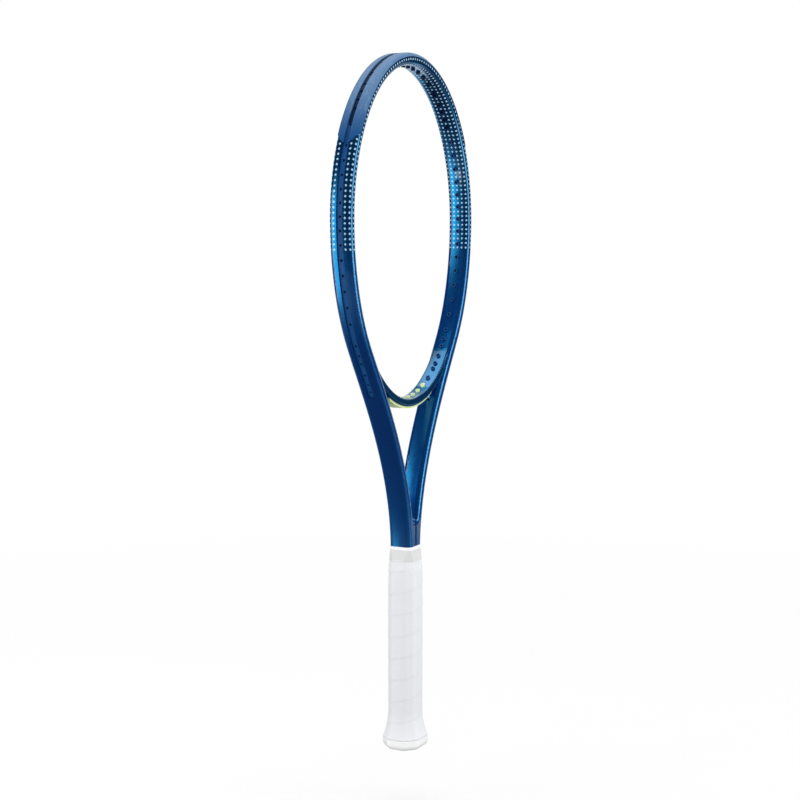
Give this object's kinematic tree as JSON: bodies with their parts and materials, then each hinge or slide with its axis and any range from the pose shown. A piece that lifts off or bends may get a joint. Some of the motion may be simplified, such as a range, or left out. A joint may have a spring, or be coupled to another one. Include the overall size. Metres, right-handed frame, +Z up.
{
  "type": "tennis racket",
  "caption": "Unstrung adult tennis racket: hollow oval hoop and forked shaft, throat bridge, grommets, bumper guard and wrapped octagonal handle with a butt cap door.",
  "frame": {"origin": "centre of the butt end's lowest face", "axes": "+Z up the racket from the butt end to the tip, +X across the head, hitting faces towards -Y and +Y"},
  "size_m": [0.262, 0.0404, 0.6858],
  "materials": {
    "frame_paint": "glossy metallic blue paint over carbon composite",
    "guard_plastic": "satin grey-blue nylon",
    "grommet_plastic": "satin navy nylon",
    "lime_plastic": "satin lime nylon",
    "foam": "closed-cell foam",
    "pallet_plastic": "moulded hard foam",
    "cap_plastic": "smooth white plastic",
    "steel": "drawn wire",
    "grip_leather": "soft white synthetic wrap",
    "tape": "white vinyl tape",
    "collar_rubber": "white rubber"
  },
  "bodies": {
    "racket": {"hairpin_frame": "frame_paint", "throat_bridge": "frame_paint", "bridge_foam_core": "foam", "tube_end_plugs": "foam", "bumper_guard": "guard_plastic", "grommet_strip_left": "grommet_plastic", "grommet_strip_right": "grommet_plastic", "corner_grommets": "grommet_plastic", "throat_grommet_strip": "lime_plastic", "handle_pallet": "pallet_plastic", "butt_cap": "cap_plastic", "butt_cap_staples": "steel", "grip_tack": "steel", "base_grip": "grip_leather", "finishing_tape": "tape", "grip_collar": "collar_rubber"},
    "door": {"butt_cap_door": "cap_plastic"}
  },
  "joints": [
    {"name": "door_pull", "type": "slide", "parent": "racket", "child": "door", "axis": [0, 0, -1], "range_m": [0, 0.02]}
  ]
}
